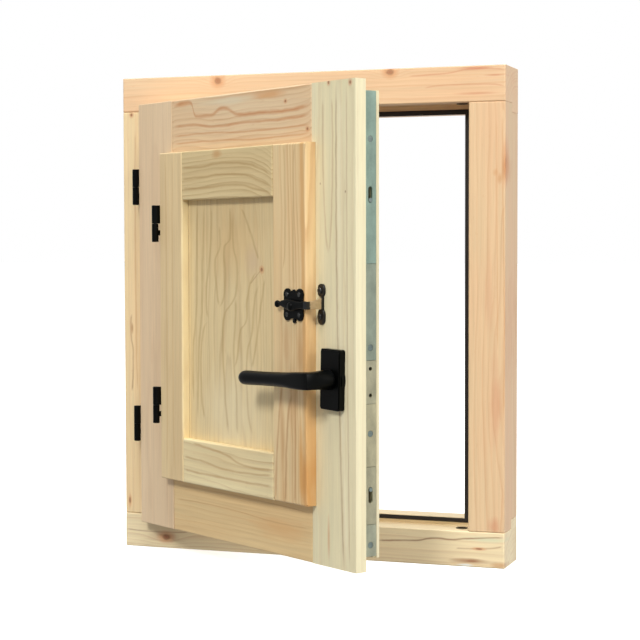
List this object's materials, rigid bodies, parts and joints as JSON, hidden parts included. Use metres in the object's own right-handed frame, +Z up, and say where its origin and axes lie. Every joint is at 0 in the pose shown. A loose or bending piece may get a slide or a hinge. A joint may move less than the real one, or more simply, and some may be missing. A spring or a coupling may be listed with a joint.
{
  "type": "wooden window sash with crank handle",
  "caption": "Small pine casement window: box frame, rebated side-hung sash with a hinged inner shutter, turn latch, cranked lever handle and the shoot bolts it drives.",
  "frame": {"origin": "middle of the underside of the sill", "axes": "+X along the window's width towards the handle side, +Y from the room into the wall, +Z up"},
  "size_m": [0.5, 0.345, 0.6],
  "materials": {
    "frame_pine": "clear pine, planed and waxed",
    "sash_pine": "clear pine, planed and waxed",
    "shutter_pine": "clear pine, planed and waxed",
    "bead_pine": "clear pine, planed and waxed",
    "black_paint": "satin black",
    "zinc": "zinc plated, passivated",
    "rubber": "matt",
    "spacer": "mill finish",
    "glass": "clear float glass"
  },
  "bodies": {
    "frame": {"bolt_keep_head": "zinc", "bolt_keep_sill": "zinc", "frame_gasket": "rubber", "frame_head": "frame_pine", "frame_jamb_left": "frame_pine", "frame_jamb_right": "frame_pine", "frame_sill": "frame_pine", "sash_hinge_lower_frame_half": "black_paint", "sash_hinge_upper_frame_half": "black_paint"},
    "sash": {"faceplate_bottom": "zinc", "faceplate_end": "zinc", "faceplate_end_screw": "zinc", "faceplate_lower": "zinc", "faceplate_lower_screw": "zinc", "faceplate_top": "zinc", "faceplate_top_screw": "zinc", "faceplate_upper": "zinc", "faceplate_upper_screw": "zinc", "gearbox_case": "zinc", "gearbox_front": "zinc", "glass_outer_side": "glass", "glass_room_side": "glass", "glass_spacer": "spacer", "glazing_bead_bottom": "bead_pine", "glazing_bead_hinge_side": "bead_pine", "glazing_bead_lock_side": "bead_pine", "glazing_bead_top": "bead_pine", "keeper_screw_lower": "black_paint", "keeper_screw_upper": "black_paint", "latch_keeper": "black_paint", "rosette_base": "zinc", "rosette_cover": "black_paint", "rosette_screw_lower": "zinc", "rosette_screw_upper": "zinc", "sash_hinge_lower_sash_half": "black_paint", "sash_hinge_upper_sash_half": "black_paint", "sash_rail_bottom": "sash_pine", "sash_rail_top": "sash_pine", "sash_stile_hinge_side": "sash_pine", "sash_stile_lock_side": "sash_pine", "shutter_hinge_lower_sash_half": "black_paint", "shutter_hinge_upper_sash_half": "black_paint"},
    "shutter": {"latch_plate": "black_paint", "latch_screw_lower_left": "black_paint", "latch_screw_lower_right": "black_paint", "latch_screw_upper_left": "black_paint", "latch_screw_upper_right": "black_paint", "shutter_hinge_lower_shutter_half": "black_paint", "shutter_hinge_upper_shutter_half": "black_paint", "shutter_panel": "shutter_pine", "shutter_rail_bottom": "shutter_pine", "shutter_rail_top": "shutter_pine", "shutter_stile_hinge_side": "shutter_pine", "shutter_stile_latch_side": "shutter_pine"},
    "handle": {"drive_pinion": "zinc", "handle_spindle": "zinc", "lever": "black_paint"},
    "upper_bolt": {"upper_bolt_rod": "zinc"},
    "lower_bolt": {"lower_bolt_rod": "zinc"},
    "latch": {"latch_bar": "black_paint"}
  },
  "joints": [
    {"name": "sash_swing", "type": "hinge", "parent": "frame", "child": "sash", "pos_m": [-0.2249, -0.0483, 0.311], "axis": [0, 0, -1], "range_deg": [-33.05, 72]},
    {"name": "shutter_swing", "type": "hinge", "parent": "sash", "child": "shutter", "pos_m": [-0.17441, -0.09905, 0.302], "axis": [0, 0, -1], "range_deg": [0, 100]},
    {"name": "handle_turn", "type": "hinge", "parent": "sash", "child": "handle", "pos_m": [0.11918, -0.26979, 0.242], "axis": [-0.5454, -0.8382, 0], "range_deg": [0, 90]},
    {"name": "upper_bolt_slide", "type": "slide", "parent": "sash", "child": "upper_bolt", "axis": [0, 0, 1], "range_m": [0, 0.012]},
    {"name": "lower_bolt_slide", "type": "slide", "parent": "sash", "child": "lower_bolt", "axis": [0, 0, -1], "range_m": [0, 0.012]},
    {"name": "latch_turn", "type": "hinge", "parent": "shutter", "child": "latch", "pos_m": [0.06561, -0.25164, 0.322], "axis": [-0.5454, -0.8382, 0], "range_deg": [-90, 18]}
  ],
  "couplings": [
    {"joint": "upper_bolt_slide", "follows": "handle_turn", "m_per_rad": 0.0076},
    {"joint": "lower_bolt_slide", "follows": "handle_turn", "m_per_rad": 0.0076}
  ]
}
